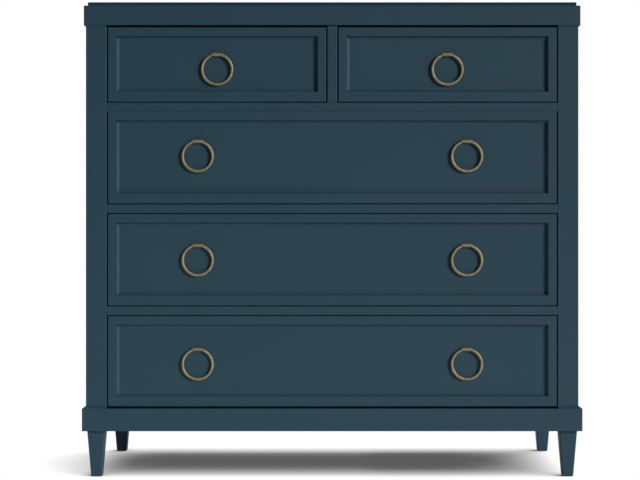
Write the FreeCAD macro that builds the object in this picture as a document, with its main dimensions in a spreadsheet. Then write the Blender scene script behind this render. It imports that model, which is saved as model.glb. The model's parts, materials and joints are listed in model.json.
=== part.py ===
import FreeCAD, Part
import collections
import os
import re
import Sketcher

# A painted chest of five drawers on square tapered feet, with brass ring pulls.
# Millimetres: X runs along the chest, Y from its front to its back, Z up from the floor.
# The origin lies on the floor under the middle of the chest, pulls included.

# Driving dimensions
sizes = {
    # Case without its mouldings: square corner posts and the softened edges of painted wood
    "case_width": 1102.0,
    "case_depth": 475.0,
    "post_width": 46.5,
    "edge_round": 1.6,
    "corner_round": 2.6,
    # Feet: a square taper with soft edges, and a round tenon that enters the post
    "foot_height": 103.5,
    "foot_top": 40.0,
    "foot_bottom": 24.5,
    "foot_setback": 2.3,
    "foot_round": 3.0,
    "foot_tenon_diameter": 18.0,
    "foot_tenon_length": 32.0,
    "tenon_clearance": 0.1,
    # Plinth moulding round the foot of the case
    "plinth_height": 49.9,
    "plinth_projection": 8.0,
    "plinth_slope_height": 5.4,
    "plinth_slope_width": 7.0,
    # Clear heights of the drawer openings, and the rails and divider between them
    "lower_opening": 208.8,
    "middle_opening": 208.2,
    "upper_opening": 207.4,
    "small_opening": 173.0,
    "rail_height": 20.0,
    "rail_depth": 60.0,
    "rail_tenon_length": 15.0,
    "rail_tenon_width": 22.0,
    "rail_tenon_shoulder": 5.0,
    "bottom_rail_thickness": 22.0,
    "divider_width": 22.4,
    # Top: a mitred band with a rebate, and the top board that lies in it
    "band_height": 43.6,
    "band_projection": 4.2,
    "band_thickness": 24.0,
    "board_thickness": 20.0,
    "board_step": 8.5,
    "board_setback": 8.0,
    # Framed sides and the back
    "panel_thickness": 10.0,
    "panel_setback": 8.0,
    "panel_groove": 9.0,
    "panel_float": 0.5,
    "side_rail_height": 46.5,
    "side_rail_thickness": 24.0,
    "back_panel_thickness": 6.0,
    "back_rebate": 12.0,
    "back_rail_thickness": 20.0,
    # Runners, guides and kickers that carry the drawers, and the stops that end their travel
    "runner_thickness": 20.0,
    "runner_ledge": 6.0,
    "runner_gap": 0.3,
    "guide_height": 24.0,
    "guide_gap": 1.0,
    "kicker_gap": 2.0,
    "stop_width": 40.0,
    "stop_length": 18.0,
    "stop_height": 8.0,
    "stop_inset": 70.0,
    "stop_gap": 0.3,
    # Drawer fronts: reveals round them and the recess in their face, with a cove round its edge
    "side_reveal": 2.5,
    "low_reveal": 1.6,
    "high_reveal": 1.6,
    "tight_reveal": 0.4,
    "plinth_reveal": 4.3,
    "band_reveal": 4.5,
    "front_thickness": 22.0,
    "frame_side": 18.4,
    "frame_rail": 19.8,
    "frame_foot": 22.6,
    "recess_depth": 8.0,
    "cove_radius": 7.6,
    # Drawer boxes: dovetailed sides and back that stop short of the back panel, and a bottom in a groove
    "box_clearance": 39.0,
    "side_thickness": 12.0,
    "side_drop": 12.0,
    "back_thickness": 12.0,
    "front_lap": 7.0,
    "tail_pitch": 38.0,
    "pin_width": 8.0,
    "pin_slope_share": 0.143,
    "bottom_thickness": 6.0,
    "bottom_rise": 11.0,
    "bottom_groove": 6.0,
    "bottom_float": 0.3,
    # Ring pulls: a barrel on a stem, and a ring that swings on two pins in the barrel
    "pull_standoff": 4.3,
    "pull_spacing": 603.0,
    "small_pull_rise": 22.6,
    "upper_pull_rise": 36.5,
    "middle_pull_rise": 31.9,
    "lower_pull_rise": 26.2,
    "barrel_diameter": 8.0,
    "barrel_length": 21.5,
    "barrel_round": 0.8,
    "stem_diameter": 6.0,
    "flange_diameter": 7.0,
    "flange_thickness": 0.8,
    "spigot_diameter": 5.0,
    "spigot_length": 9.0,
    "spigot_clearance": 0.1,
    "ring_diameter": 73.6,
    "ring_section": 6.6,
    "ring_drop": 33.2,
    "collar_diameter": 7.0,
    "collar_length": 1.2,
    "collar_gap": 0.3,
    "pin_diameter": 3.2,
    "pin_length": 6.0,
    "pin_clearance": 0.05,
}

# Places worked out from the dimensions
places = {
    "half_width": "case_width / 2",
    "pull_axis": "recess_depth - pull_standoff",
    "front_reach": "max(plinth_projection; barrel_diameter / 2 - pull_axis)",
    "front_face": "-(case_depth - front_reach) / 2",
    "back_face": "front_face + case_depth",
    "opening_half": "half_width - post_width",
    "wide_width": "opening_half * 2",
    "small_width": "opening_half - divider_width / 2",
    "small_centre": "(opening_half + divider_width / 2) / 2",
    "lower_floor": "foot_height + plinth_height",
    "slope_top": "lower_floor + plinth_slope_height",
    "middle_floor": "lower_floor + lower_opening + rail_height",
    "upper_floor": "middle_floor + middle_opening + rail_height",
    "small_floor": "upper_floor + upper_opening + rail_height",
    "case_top": "small_floor + small_opening",
    "band_low": "case_top - band_projection",
    "band_top": "case_top + band_height",
    "board_under": "band_top + board_step - board_thickness",
    "foot_across": "half_width - foot_setback - foot_top / 2",
    "foot_front": "front_face + foot_setback + foot_top / 2",
    "foot_back": "back_face - foot_setback - foot_top / 2",
    "panel_outer": "half_width - panel_setback",
    "panel_inner": "panel_outer - panel_thickness",
    "frame_length": "case_depth - post_width * 2",
    "runner_inner": "opening_half - side_reveal - side_thickness - runner_ledge",
    "runner_outer": "half_width - side_rail_thickness",
    "guide_face": "opening_half - side_reveal + guide_gap",
    "middle_ledge": "divider_width / 2 + side_reveal + side_thickness + runner_ledge",
    "middle_guide": "divider_width / 2 + side_reveal - guide_gap",
    "kicker_low": "case_top - band_reveal - side_drop + kicker_gap",
    "box_depth": "case_depth - back_panel_thickness - box_clearance",
    "ring_radius": "(ring_diameter - ring_section) / 2",
    "collar_start": "barrel_length / 2 + collar_gap",
}

# Edges closer to a plane than this lie on it
on_plane_tolerance = 1e-4

# No drawer side has fewer tails than this at either end
fewest_tails = 2

Drawer = collections.namedtuple("Drawer", "name floor opening low_gap top_gap centre width pull_rise pulls")
pull_pair = {"left": "-pull_spacing / 2", "right": "pull_spacing / 2"}
drawers = [
    Drawer("top_left", "small_floor", "small_opening", "low_reveal", "band_reveal", "-small_centre",
           "small_width", "small_pull_rise", {"": "0"}),
    Drawer("top_right", "small_floor", "small_opening", "low_reveal", "band_reveal", "small_centre",
           "small_width", "small_pull_rise", {"": "0"}),
    Drawer("upper", "upper_floor", "upper_opening", "low_reveal", "tight_reveal", "0", "wide_width",
           "upper_pull_rise", pull_pair),
    Drawer("middle", "middle_floor", "middle_opening", "low_reveal", "high_reveal", "0", "wide_width",
           "middle_pull_rise", pull_pair),
    Drawer("lower", "lower_floor", "lower_opening", "plinth_reveal", "high_reveal", "0", "wide_width",
           "lower_pull_rise", pull_pair),
]

doc = FreeCAD.newDocument("Chest")
sheet = doc.addObject("Spreadsheet::Sheet", "Sizes")
for row, (name, number) in enumerate(sizes.items(), start=1):
    sheet.set(f"A{row}", name)
    sheet.set(f"B{row}", str(number))
    sheet.setAlias(f"B{row}", name)
for row, (name, formula) in enumerate(places.items(), start=1):
    sheet.set(f"D{row}", name)
    sheet.set(f"E{row}", "=" + formula)
    sheet.setAlias(f"E{row}", name)
doc.recompute()

nodes = []


# Shared helpers

def bind(text):
    """Put the sheet's name before each size or place in an expression."""
    def full_name(match):
        word = match.group()
        return f"Sizes.{word}" if word in sizes or word in places else word
    return re.sub(r"[a-z_]+", full_name, text)


def measure(thing, text):
    """Work out an expression as a plain number."""
    return float(thing.evalExpression(bind(text)))


def place(thing, position):
    """Bind the place of a piece to the sheet."""
    for axis, text in zip("xyz", position):
        thing.setExpression(f"Placement.Base.{axis}", bind(text))


def keep(*things):
    """List pieces as sub-parts of the chest."""
    nodes.extend(things)


def group(label, members):
    """Gather separate solids under one name."""
    together = doc.addObject("Part::Compound", label)
    together.Links = members
    return together


def placed(master, label, position):
    """Repeat a piece at another place."""
    copy = group(label, [master])
    place(copy, position)
    return copy


def mirrored(source, label, centre="0"):
    """Repeat a piece as its left-hand twin about a plane across X."""
    twin = doc.addObject("Part::Mirroring", label)
    twin.Source = source
    twin.Normal = FreeCAD.Vector(1, 0, 0)
    twin.setExpression("Base.x", bind(centre))
    return twin


def boolean(kind, label, base, tool):
    """Join two pieces by a cut or a common."""
    result = doc.addObject(f"Part::{kind}", label)
    result.Base = base
    result.Tool = tool
    return result


def board(label, low, size):
    """Plain board, from its low corner and its size along X, Y and Z."""
    box = doc.addObject("Part::Box", label)
    for side, text in zip(("Length", "Width", "Height"), size):
        box.setExpression(side, bind(text))
    place(box, low)
    return box


def rod(label, diameter, length, start):
    """Round rod along X, from where it starts on the axis."""
    cylinder = doc.addObject("Part::Cylinder", label)
    cylinder.setExpression("Radius", bind(f"({diameter}) / 2"))
    cylinder.setExpression("Height", bind(length))
    cylinder.Placement.Rotation = FreeCAD.Rotation(FreeCAD.Vector(0, 1, 0), 90)
    cylinder.setExpression("Placement.Base.x", bind(start))
    return cylinder


def new_body(label, position=("0", "0", "0")):
    """Start a body at its place."""
    body = doc.addObject("PartDesign::Body", label)
    place(body, position)
    return body


def origin_of(body, role):
    """Find a plane or an axis of a body's own origin."""
    return next(part for part in body.Origin.OriginFeatures if part.Role == role)


def new_sketch(body, name, role, lift):
    """Start a sketch on an origin plane, lifted along the plane's normal."""
    sketch = body.newObject("Sketcher::SketchObject", name)
    sketch.AttachmentSupport = [(origin_of(body, role), "")]
    sketch.MapMode = "FlatFace"
    sketch.setExpression("AttachmentOffset.Base.z", bind(lift))
    return sketch


def fix(sketch, kind, ends, text):
    """Constrain a distance in a sketch and bind it to the sheet."""
    number = sketch.addConstraint(Sketcher.Constraint(kind, *ends, measure(sketch, text)))
    sketch.setExpression(f"Constraints[{number}]", bind(text))


def outline(body, name, role, corners, lift="0"):
    """Sketch a closed outline of straight lines through its corners."""
    sketch = new_sketch(body, name, role, lift)
    points = [FreeCAD.Vector(measure(sketch, across), measure(sketch, up), 0) for across, up in corners]
    following = list(range(1, len(corners))) + [0]
    for here, there in enumerate(following):
        sketch.addGeometry(Part.LineSegment(points[here], points[there]))
    for here, there in enumerate(following):
        sketch.addConstraint(Sketcher.Constraint("Coincident", here, 2, there, 1))
    for here, (across, up) in enumerate(corners):
        fix(sketch, "DistanceX", (-1, 1, here, 1), across)
        fix(sketch, "DistanceY", (-1, 1, here, 1), up)
    return sketch


def rectangle(body, name, role, left, low, right, high, lift="0"):
    """Sketch a rectangle between two opposite corners."""
    return outline(body, name, role, [(left, low), (right, low), (right, high), (left, high)], lift)


def circle(body, name, role, across, up, diameter, lift="0"):
    """Sketch a circle about a centre."""
    sketch = new_sketch(body, name, role, lift)
    centre = FreeCAD.Vector(measure(sketch, across), measure(sketch, up), 0)
    radius = measure(sketch, diameter) / 2
    sketch.addGeometry(Part.Circle(centre, FreeCAD.Vector(0, 0, 1), radius))
    fix(sketch, "DistanceX", (-1, 1, 0, 3), across)
    fix(sketch, "DistanceY", (-1, 1, 0, 3), up)
    fix(sketch, "Diameter", (0,), diameter)
    return sketch


def extrude(kind, body, sketch, name, length, reverse=False):
    """Pad or pocket a sketch; a pocket sinks against the plane's normal unless reversed."""
    feature = body.newObject(f"PartDesign::{kind}", name)
    feature.Profile = sketch
    feature.setExpression("Length", bind(length))
    feature.Reversed = reverse
    return feature


def repeat_up(body, feature, name, length, count):
    """Repeat a feature up the height of a board."""
    pattern = body.newObject("PartDesign::LinearPattern", name)
    pattern.Originals = [feature]
    pattern.Direction = (origin_of(body, "Z_Axis"), [""])
    pattern.setExpression("Length", bind(length))
    pattern.Occurrences = count
    body.Tip = pattern


def lies_on(body, edge, axis, *levels):
    """Say whether an edge lies in a plane across an axis at one of the levels."""
    box = edge.BoundBox
    low = getattr(box, axis + "Min")
    high = getattr(box, axis + "Max")
    return any(max(abs(low - measure(body, level)), abs(high - measure(body, level))) < on_plane_tolerance
               for level in levels)


def soften(kind, body, name, size, wanted):
    """Fillet or chamfer the edges of a body that a test picks out."""
    doc.recompute()
    base = body.Tip
    picked = [f"Edge{number}" for number, edge in enumerate(base.Shape.Edges, start=1) if wanted(edge)]
    feature = body.newObject(f"PartDesign::{kind}", name)
    feature.Base = (base, picked)
    feature.setExpression("Radius" if kind == "Fillet" else "Size", bind(size))
    return feature


# Feet

def make_foot():
    """Foot about its own axis: tapered across X, then across Y, softened, with a tenon on top."""
    body = new_body("foot")
    wide = "foot_top / 2"
    narrow = "foot_bottom / 2"
    taper = outline(body, "taper", "XZ_Plane", [
        (f"-{narrow}", "0"), (narrow, "0"), (wide, "foot_height"), (f"-{wide}", "foot_height")], wide)
    extrude("Pad", body, taper, "blank", "foot_top", reverse=True)
    for side, sign in (("front", "-"), ("back", "")):
        waste = outline(body, f"{side}_waste", "YZ_Plane", [
            (f"{sign}{narrow}", "0"), (f"{sign}{wide}", "0"), (f"{sign}{wide}", "foot_height")], wide)
        extrude("Pocket", body, waste, f"{side}_taper", "foot_top")
    soften("Fillet", body, "soft_edges", "foot_round",
           lambda edge: not lies_on(body, edge, "Z", "foot_height"))
    tenon = circle(body, "tenon_outline", "XY_Plane", "0", "0", "foot_tenon_diameter", "foot_height")
    extrude("Pad", body, tenon, "tenon", "foot_tenon_length - tenon_clearance")
    return body


foot = make_foot()
for end, along in (("front", "foot_front"), ("back", "foot_back")):
    for hand, sign in (("left", "-"), ("right", "")):
        keep(placed(foot, f"{end}_{hand}_foot", (f"{sign}foot_across", along, "0")))


# Mouldings: the plinth and the band run round the front and both sides, with mitred corners

def make_moulding(label, projection, thickness, low, high, finish):
    """Run a section round three sides, finish its edges, then part it at the two mitres."""
    outer = f"(half_width + {projection})"
    inner = f"({outer} - {thickness})"
    face = f"(front_face - {projection})"
    run = new_body(f"{label}_run")
    plan = outline(run, "plan", "XY_Plane", [
        (f"-{outer}", face), (outer, face), (outer, "back_face"), (inner, "back_face"),
        (inner, f"{face} + {thickness}"), (f"-{inner}", f"{face} + {thickness}"),
        (f"-{inner}", "back_face"), (f"-{outer}", "back_face")], low)
    extrude("Pad", run, plan, "run", f"{high} - {low}")
    finish(run, outer, face)
    mitre = new_body(f"{label}_mitre")
    wedge = outline(mitre, "wedge", "XY_Plane", [
        (f"-{outer} - {thickness}", f"{face} - {thickness}"),
        (f"{outer} + {thickness}", f"{face} - {thickness}"),
        (f"{inner} - {thickness}", f"{face} + {thickness} * 2"),
        (f"{thickness} - {inner}", f"{face} + {thickness} * 2")], low)
    extrude("Pad", mitre, wedge, "wedge_block", f"{high} - {low}")
    return group(label, [boolean("Common", f"{label}_front", run, mitre),
                         boolean("Cut", f"{label}_sides", run, mitre)])


def outer_rim(body, edge, outer, face, level):
    """Pick the outer edges of a moulding at one height, its rounded corners included."""
    return lies_on(body, edge, "Z", level) and (lies_on(body, edge, "X", outer, f"-{outer}")
                                                or lies_on(body, edge, "Y", face)
                                                or isinstance(edge.Curve, Part.Circle))


def round_corners(run, outer, face):
    """Round the two upright outer corners of a moulding."""
    soften("Fillet", run, "corners", "corner_round",
           lambda edge: lies_on(run, edge, "Y", face) and lies_on(run, edge, "X", outer, f"-{outer}"))


def clear_opening(run, face, level, height, reverse):
    """Cut a moulding back to its plain face between the front posts, where the drawers close."""
    gap = rectangle(run, "opening_plan", "XY_Plane", "-opening_half", f"{face} - plinth_projection",
                    "opening_half", "front_face", level)
    extrude("Pocket", run, gap, "opening_gap", height, reverse)


def finish_plinth(run, outer, face):
    """Weather the top of the plinth with a slope that leaves a narrow flat against the posts and sides."""
    slope = soften("Chamfer", run, "slope", "plinth_slope_height",
                   lambda edge: outer_rim(run, edge, outer, face, "slope_top"))
    slope.ChamferType = "Two distances"
    slope.setExpression("Size2", bind("plinth_slope_width"))
    round_corners(run, outer, face)
    clear_opening(run, face, "slope_top", "plinth_slope_height", reverse=False)


def finish_band(run, outer, face):
    """Chamfer the band up from the case, soften its edges and sink its rebates for board and case."""
    soften("Chamfer", run, "under_chamfer", "band_projection",
           lambda edge: outer_rim(run, edge, outer, face, "band_low"))
    round_corners(run, outer, face)
    soften("Fillet", run, "top_edge", "edge_round",
           lambda edge: outer_rim(run, edge, outer, face, "band_top"))
    seat = rectangle(run, "seat", "XY_Plane", f"board_setback - {outer}", f"{face} + board_setback",
                     f"{outer} - board_setback", "back_face", "band_top")
    extrude("Pocket", run, seat, "rebate", "board_thickness - board_step")
    case_plan = rectangle(run, "case_plan", "XY_Plane", "-half_width", "front_face", "half_width",
                          "back_face", "band_low")
    extrude("Pocket", run, case_plan, "case_rebate", "band_projection", reverse=True)
    clear_opening(run, face, "band_low", "band_projection", reverse=True)


def make_plinth():
    """Plinth of upright strips, with sloped cap strips on the posts and sides."""
    whole = make_moulding("plinth_whole", "plinth_projection", "plinth_projection", "foot_height",
                          "slope_top", finish_plinth)
    strips = board("plinth_strips", ("-half_width - plinth_projection", "front_face - plinth_projection",
                                     "foot_height"),
                   ("(half_width + plinth_projection) * 2", "case_depth + plinth_projection", "plinth_height"))
    return group("plinth", [boolean("Common", "plinth_run", whole, strips),
                            boolean("Cut", "plinth_cap", whole, strips)])


keep(make_plinth(),
     make_moulding("top_band", "band_projection", "band_thickness", "band_low", "band_top", finish_band))


def make_top_board():
    """Top board, which lies in the band's rebate and stands a step above it."""
    body = new_body("top_board")
    half = "(half_width + band_projection - board_setback)"
    face = "(front_face - band_projection + board_setback)"
    plan = rectangle(body, "plan", "XY_Plane", f"-{half}", face, half, "back_face", "board_under")
    extrude("Pad", body, plan, "board", "board_thickness")
    soften("Fillet", body, "corners", "edge_round",
           lambda edge: lies_on(body, edge, "Y", face) and lies_on(body, edge, "X", half, f"-{half}"))
    soften("Fillet", body, "top_edge", "edge_round",
           lambda edge: lies_on(body, edge, "Z", "board_under + board_thickness")
           and not lies_on(body, edge, "Y", "back_face"))
    return body


keep(make_top_board())


# Front rails and divider

def add_rail_tenons(body, floor):
    """Run one tongue through a rail so that it stands out as a tenon at both ends."""
    low = "front_face + (post_width - rail_tenon_width) / 2"
    plan = rectangle(body, "tenon_plan", "XY_Plane", "-opening_half - rail_tenon_length", low,
                     "opening_half + rail_tenon_length", f"{low} + rail_tenon_width",
                     f"{floor} - rail_height + rail_tenon_shoulder")
    extrude("Pad", body, plan, "tenons", "rail_height - rail_tenon_shoulder * 2")


def soften_front(body, *square_levels):
    """Soften the edges round a board's front face, but for those at heights that stay square."""
    soften("Fillet", body, "soft_face", "edge_round",
           lambda edge: lies_on(body, edge, "Y", "front_face")
           and not lies_on(body, edge, "Z", *square_levels))


def make_rail(label, floor, *square_levels):
    """Rail between two rows of drawers, tenoned into the front posts."""
    body = new_body(label)
    plan = rectangle(body, "plan", "XY_Plane", "-opening_half", "front_face", "opening_half",
                     "front_face + rail_depth", f"{floor} - rail_height")
    extrude("Pad", body, plan, "rail", "rail_height")
    soften_front(body, *square_levels)
    add_rail_tenons(body, floor)
    return body


def make_bottom_rail():
    """Bottom rail: an upright behind the plinth, with a ledge as deep as the other rails."""
    body = new_body("bottom_rail")
    section = outline(body, "section", "YZ_Plane", [
        ("front_face", "foot_height"),
        ("front_face + bottom_rail_thickness", "foot_height"),
        ("front_face + bottom_rail_thickness", "lower_floor - rail_height"),
        ("front_face + rail_depth", "lower_floor - rail_height"),
        ("front_face + rail_depth", "lower_floor"),
        ("front_face", "lower_floor")], "-opening_half")
    extrude("Pad", body, section, "rail", "opening_half * 2")
    add_rail_tenons(body, "lower_floor")
    return body


def make_divider():
    """Upright between the two small drawers."""
    body = new_body("drawer_divider")
    plan = rectangle(body, "plan", "XY_Plane", "-divider_width / 2", "front_face", "divider_width / 2",
                     "front_face + rail_depth", "small_floor")
    extrude("Pad", body, plan, "upright", "small_opening")
    soften_front(body)
    return body


rails = [make_rail("upper_rail", "small_floor", "small_floor - rail_height"),
         make_rail("middle_rail", "upper_floor"),
         make_rail("lower_rail", "middle_floor"),
         make_bottom_rail()]
keep(*rails, make_divider())


# Framed sides and back

def bore_for_foot(body, along):
    """Bore the end of a post for the tenon of its foot."""
    mouth = circle(body, "foot_mouth", "XY_Plane", "foot_across", along,
                   "foot_tenon_diameter + tenon_clearance * 2", "foot_height")
    extrude("Pocket", body, mouth, "foot_bore", "foot_tenon_length", reverse=True)


def make_post(label, near, far, groove_low, groove_high, along):
    """Right-hand post between two planes across Y, grooved for the side panel and bored for its foot."""
    body = new_body(label)
    plan = rectangle(body, "plan", "XY_Plane", "opening_half", near, "half_width", far, "foot_height")
    extrude("Pad", body, plan, "post", "case_top - foot_height")
    soften("Fillet", body, "soft_corners", "edge_round",
           lambda edge: lies_on(body, edge, "Y", "front_face")
           and lies_on(body, edge, "X", "opening_half", "half_width")
           or lies_on(body, edge, "X", "half_width") and lies_on(body, edge, "Y", near, far))
    groove = rectangle(body, "groove_plan", "XY_Plane", "panel_inner", groove_low, "panel_outer",
                       groove_high, "case_top")
    extrude("Pocket", body, groove, "panel_groove", "case_top - foot_height")
    bore_for_foot(body, along)
    return body


def make_front_posts():
    """Front posts, mortised by the tenons of the rails themselves."""
    blank = make_post("front_post_blank", "front_face", "front_face + post_width",
                      "front_face + post_width - panel_groove", "front_face + post_width", "foot_front")
    right = boolean("Cut", "front_right_post", blank, group("front_tenons", rails))
    return right, mirrored(right, "front_left_post")


def make_back_posts():
    """Back posts, rebated for the back panel."""
    right = make_post("back_right_post", "back_face - post_width", "back_face", "back_face - post_width",
                      "back_face - post_width + panel_groove", "foot_back")
    rebate = rectangle(right, "rebate_plan", "XY_Plane", "opening_half", "back_face - back_panel_thickness",
                       "opening_half + back_rebate", "back_face", "case_top")
    extrude("Pocket", right, rebate, "rebate", "case_top - foot_height")
    return right, mirrored(right, "back_left_post")


def make_side_rail(label, low, high, groove_low, groove_high):
    """Right-hand side rail, grooved along one edge for the panel, with stub tenons at both ends."""
    body = new_body(label)
    near = "(front_face + post_width)"
    tenon = "(panel_groove - panel_float)"
    section = rectangle(body, "section", "XZ_Plane", "half_width - side_rail_thickness", low,
                        "half_width", high, f"-{near}")
    extrude("Pad", body, section, "rail", "frame_length", reverse=True)
    soften("Fillet", body, "soft_edges", "edge_round",
           lambda edge: lies_on(body, edge, "X", "half_width") and lies_on(body, edge, "Z", low, high))
    tongue = rectangle(body, "tongue", "XZ_Plane", "panel_inner", low, "panel_outer", high,
                       f"{tenon} - {near}")
    extrude("Pad", body, tongue, "stub_tenons", f"frame_length + {tenon} * 2", reverse=True)
    groove = rectangle(body, "groove_end", "XZ_Plane", "panel_inner", groove_low, "panel_outer",
                       groove_high, f"{tenon} - {near}")
    extrude("Pocket", body, groove, "panel_groove", f"frame_length + {tenon} * 2")
    return body


def make_frame_rails():
    """Top and bottom rails of both sides, and the rails across the back."""
    top_low = "case_top - side_rail_height"
    bottom_high = "slope_top + side_rail_height"
    top = make_side_rail("side_top_rail", top_low, "case_top", top_low, f"{top_low} + panel_groove")
    bottom = make_side_rail("side_bottom_rail", "foot_height", bottom_high,
                            f"{bottom_high} - panel_groove", bottom_high)
    inner = "(half_width + band_projection - band_thickness)"
    back_top = board("back_top_rail", (f"-{inner}", "back_face - back_rail_thickness", "case_top"),
                     (f"{inner} * 2", "back_rail_thickness", "board_under - case_top"))
    back_bottom = board("back_bottom_rail",
                        ("-opening_half", "back_face - back_panel_thickness - back_rail_thickness",
                         "foot_height"),
                        ("opening_half * 2", "back_rail_thickness", "lower_floor - foot_height"))
    sides = [top, bottom, mirrored(top, "side_top_rail_twin"), mirrored(bottom, "side_bottom_rail_twin")]
    return group("frame_rails", sides + [back_top, back_bottom])


def make_side_panels():
    """Flat panels that float in the grooves of the side frames."""
    low = "slope_top + side_rail_height - panel_groove + panel_float"
    high = "case_top - side_rail_height + panel_groove - panel_float"
    near = "front_face + post_width - panel_groove + panel_float"
    right = board("right_side_panel", ("panel_inner", near, low),
                  ("panel_thickness", "frame_length + (panel_groove - panel_float) * 2",
                   f"{high} - ({low})"))
    return right, mirrored(right, "left_side_panel")


keep(*make_front_posts(), *make_back_posts(), make_frame_rails(), *make_side_panels())
keep(board("back_panel", ("-opening_half - back_rebate", "back_face - back_panel_thickness", "foot_height"),
           ("(opening_half + back_rebate) * 2", "back_panel_thickness", "case_top - foot_height")))


# Runners, kickers and stops

def make_runner(label, corners, length):
    """Run a section along Y from the back of the front rails."""
    body = new_body(label)
    section = outline(body, "section", "XZ_Plane", corners, "-front_face - rail_depth")
    extrude("Pad", body, section, "runner", length, reverse=True)
    return body


def runner_levels(tier, low_gap):
    """Underside, ledge and guide top of the runners under a row of drawers."""
    ledge = f"({tier}_floor + {low_gap} - runner_gap)"
    return f"({ledge} - runner_thickness)", ledge, f"({ledge} + guide_height)"


def make_middle_runner():
    """Runner between the two small drawers, with a ledge for each and one guide that both share."""
    under, ledge, guide = runner_levels("small", "low_reveal")
    return make_runner("middle_runner_bar", [
        ("-middle_ledge", under), ("middle_ledge", under), ("middle_ledge", ledge), ("middle_guide", ledge),
        ("middle_guide", guide), ("-middle_guide", guide), ("-middle_guide", ledge),
        ("-middle_ledge", ledge)], "case_depth - rail_depth - back_panel_thickness")


def make_runners():
    """Rebated runners at both ends of each row, a middle runner for the small drawers, and kickers."""
    pieces = [make_middle_runner()]
    for tier, low_gap in (("lower", "plinth_reveal"), ("middle", "low_reveal"), ("upper", "low_reveal"),
                          ("small", "low_reveal")):
        under, ledge, guide = runner_levels(tier, low_gap)
        right = make_runner(f"{tier}_runner", [
            ("runner_inner", under), ("runner_outer", under), ("runner_outer", guide),
            ("guide_face", guide), ("guide_face", ledge), ("runner_inner", ledge)],
            "case_depth - rail_depth - post_width")
        pieces += [right, mirrored(right, f"{tier}_runner_twin")]
    kicker_size = ("case_depth - rail_depth - back_rail_thickness", "board_under - kicker_low")
    right_kicker = board("kicker", ("runner_inner", "front_face + rail_depth", "kicker_low"),
                         ("opening_half - runner_inner", *kicker_size))
    pieces += [right_kicker, mirrored(right_kicker, "kicker_twin")]
    pieces.append(board("middle_kicker", ("-middle_ledge", "front_face + rail_depth", "kicker_low"),
                        ("middle_ledge * 2", *kicker_size)))
    return group("drawer_runners", pieces)


def make_stops():
    """Two blocks on the rail behind each drawer front, which end its travel when it is flush."""
    blocks = []
    for drawer in drawers:
        for hand, sign in (("left", "-"), ("right", "+")):
            middle = f"{drawer.centre} {sign} ({drawer.width} / 2 - stop_inset)"
            blocks.append(board(f"{drawer.name}_{hand}_stop",
                                (f"{middle} - stop_width / 2", "front_face + front_thickness + stop_gap",
                                 drawer.floor),
                                ("stop_width", "stop_length", "stop_height")))
    return group("drawer_stops", blocks)


keep(make_runners(), make_stops())


# Ring pulls

def make_pull_post():
    """Barrel on a turned stem, about the axis that the ring swings on."""
    body = new_body("pull_post")
    back = "pull_standoff - flange_thickness"
    profile = outline(body, "stem_profile", "XY_Plane", [
        ("0", "0"), ("stem_diameter / 2", "0"), ("stem_diameter / 2", back), ("flange_diameter / 2", back),
        ("flange_diameter / 2", "pull_standoff"), ("spigot_diameter / 2", "pull_standoff"),
        ("spigot_diameter / 2", "pull_standoff + spigot_length - spigot_clearance"),
        ("0", "pull_standoff + spigot_length - spigot_clearance")])
    stem = body.newObject("PartDesign::Revolution", "stem")
    stem.Profile = profile
    stem.ReferenceAxis = (origin_of(body, "Y_Axis"), [""])
    barrel = circle(body, "barrel_end", "YZ_Plane", "0", "0", "barrel_diameter", "-barrel_length / 2")
    extrude("Pad", body, barrel, "barrel", "barrel_length")
    soften("Fillet", body, "soft_ends", "barrel_round",
           lambda edge: lies_on(body, edge, "X", "-barrel_length / 2", "barrel_length / 2"))
    bore = circle(body, "bore_end", "YZ_Plane", "0", "0", "pin_diameter + pin_clearance * 2",
                  "barrel_length / 2")
    extrude("Pocket", body, bore, "bore", "barrel_length")
    return body


def make_ring():
    """Ring open at its top, with a collar and a pin at each end, about the axis that it swings on."""
    hoop = doc.addObject("Part::Torus", "hoop")
    hoop.setExpression("Radius1", bind("ring_radius"))
    hoop.setExpression("Radius2", bind("ring_section / 2"))
    hoop.Placement.Rotation = FreeCAD.Rotation(FreeCAD.Vector(1, 0, 0), 90)
    hoop.setExpression("Placement.Base.z", bind("-ring_drop"))
    gap_half = "(collar_start + collar_length / 2)"
    gap = board("ring_gap", (f"-{gap_half}", "-ring_section", "-ring_drop"),
                (f"{gap_half} * 2", "ring_section * 2", "ring_drop + ring_section"))
    pieces = [boolean("Cut", "open_hoop", hoop, gap)]
    for hand, collar, pin in (("right", "collar_start", "collar_start - pin_length"),
                              ("left", "-collar_start - collar_length", "-collar_start")):
        pieces.append(rod(f"{hand}_collar", "collar_diameter", "collar_length", collar))
        pieces.append(rod(f"{hand}_pin", "pin_diameter", "pin_length", pin))
    ring = doc.addObject("Part::MultiFuse", "ring")
    ring.Shapes = pieces
    return ring


pull_post = make_pull_post()
pull_ring = make_ring()


# Drawers

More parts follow.
